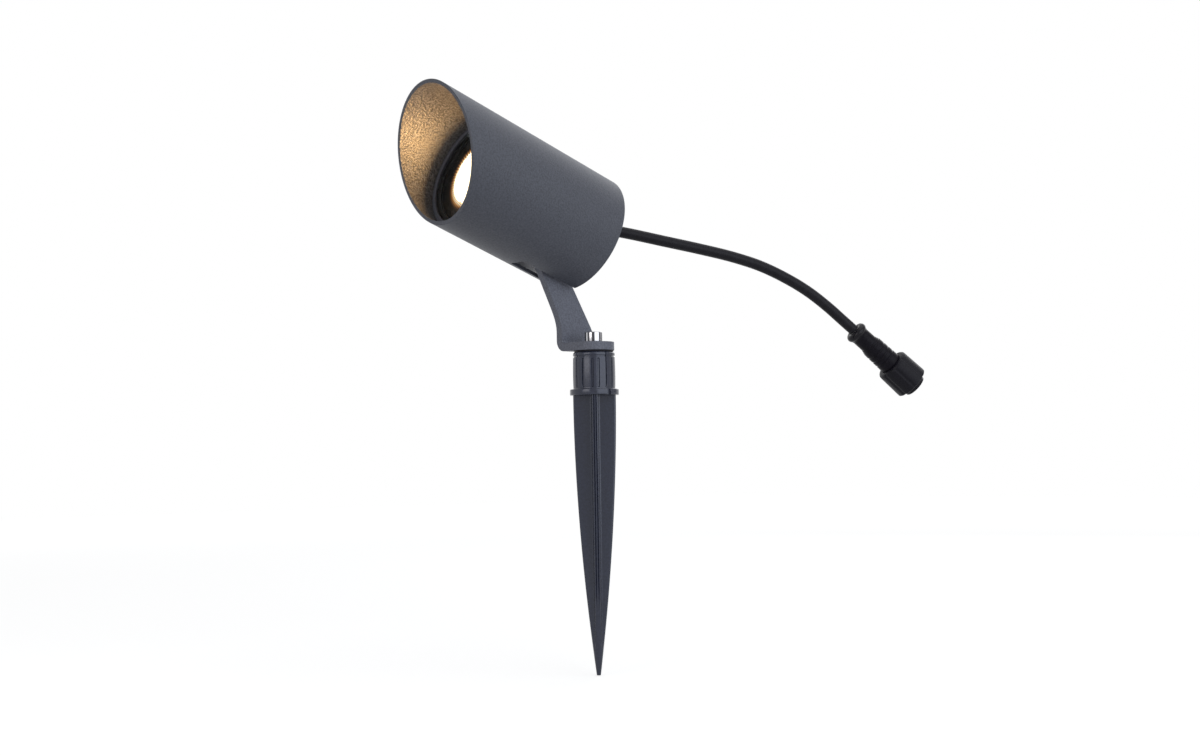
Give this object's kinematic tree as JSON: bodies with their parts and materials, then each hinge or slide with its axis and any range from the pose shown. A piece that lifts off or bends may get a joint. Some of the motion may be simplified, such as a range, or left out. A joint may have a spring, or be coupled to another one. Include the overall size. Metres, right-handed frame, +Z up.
{
  "type": "garden spotlight",
  "caption": "Garden spotlight: slant-cut tube lamp on a bent plate bracket over a cross-finned ground spike, with a short cable ending in a screw-ring connector.",
  "frame": {"origin": "on the spike's axis at the ground line, the underside of the spike's flange", "axes": "+Z up along the spike, the lamp looks towards -Y, and +X is the side of the bracket that its foot turns to"},
  "size_m": [0.1102, 0.2636, 0.2814],
  "materials": {
    "spike_nylon": "satin",
    "powder_coated": "matte",
    "stainless": "polished",
    "brass": "satin",
    "black_nylon": "satin",
    "bare_aluminium": "satin",
    "black_steel": "matte",
    "seal_rubber": "matte",
    "cable_rubber": "satin",
    "front_glass": "polished",
    "lens_acrylic": "gloss",
    "led_phosphor": "satin",
    "board_white": "satin",
    "board_green": "satin",
    "parts_plastic": "satin",
    "wire_red": "satin",
    "pad_grey": "matte",
    "washer_white": "satin"
  },
  "bodies": {
    "stake": {"ground_spike": "spike_nylon", "spike_insert": "brass", "clamp_bolt": "stainless", "slip_washer": "black_nylon"},
    "bracket": {"bracket": "powder_coated"},
    "head": {"outer_tube": "powder_coated", "tube_grub_screw": "black_steel", "lamp_body": "powder_coated", "heat_plate": "bare_aluminium", "plate_screws": "stainless", "thermal_pad": "pad_grey", "led_board": "board_white", "led_chip": "led_phosphor", "board_screws": "stainless", "lens": "lens_acrylic", "lens_holder": "black_nylon", "front_gasket": "seal_rubber", "front_glass": "front_glass", "bezel_ring": "powder_coated", "driver_board": "board_green", "driver_parts": "parts_plastic", "driver_screws": "stainless", "lead_wires": "wire_red", "gland_washer": "seal_rubber", "gland_body": "black_nylon", "gland_seal": "seal_rubber", "gland_nut": "black_nylon", "cable_end": "cable_rubber", "pivot_screw": "stainless", "pivot_nut": "stainless", "pivot_washers": "washer_white", "cable": "cable_rubber", "plug_body": "black_nylon", "plug_seal": "seal_rubber", "plug_insert": "black_nylon", "plug_contacts": "brass"},
    "coupling_nut": {"coupling_nut": "black_nylon"}
  },
  "joints": [
    {"name": "pan", "type": "hinge", "parent": "stake", "child": "bracket", "pos_m": [0, 0, 0.0238], "axis": [0, 0, 1], "continuous": true},
    {"name": "tilt", "type": "hinge", "parent": "bracket", "child": "head", "pos_m": [-0.0142, -0.0222, 0.0751], "axis": [-1, 0, 0], "range_deg": [-50, 40]},
    {"name": "coupling_nut_turn", "type": "hinge", "parent": "head", "child": "coupling_nut", "pos_m": [0.05479, 0.16409, 0.01163], "axis": [0.2956, 0.7067, -0.6428], "continuous": true}
  ]
}
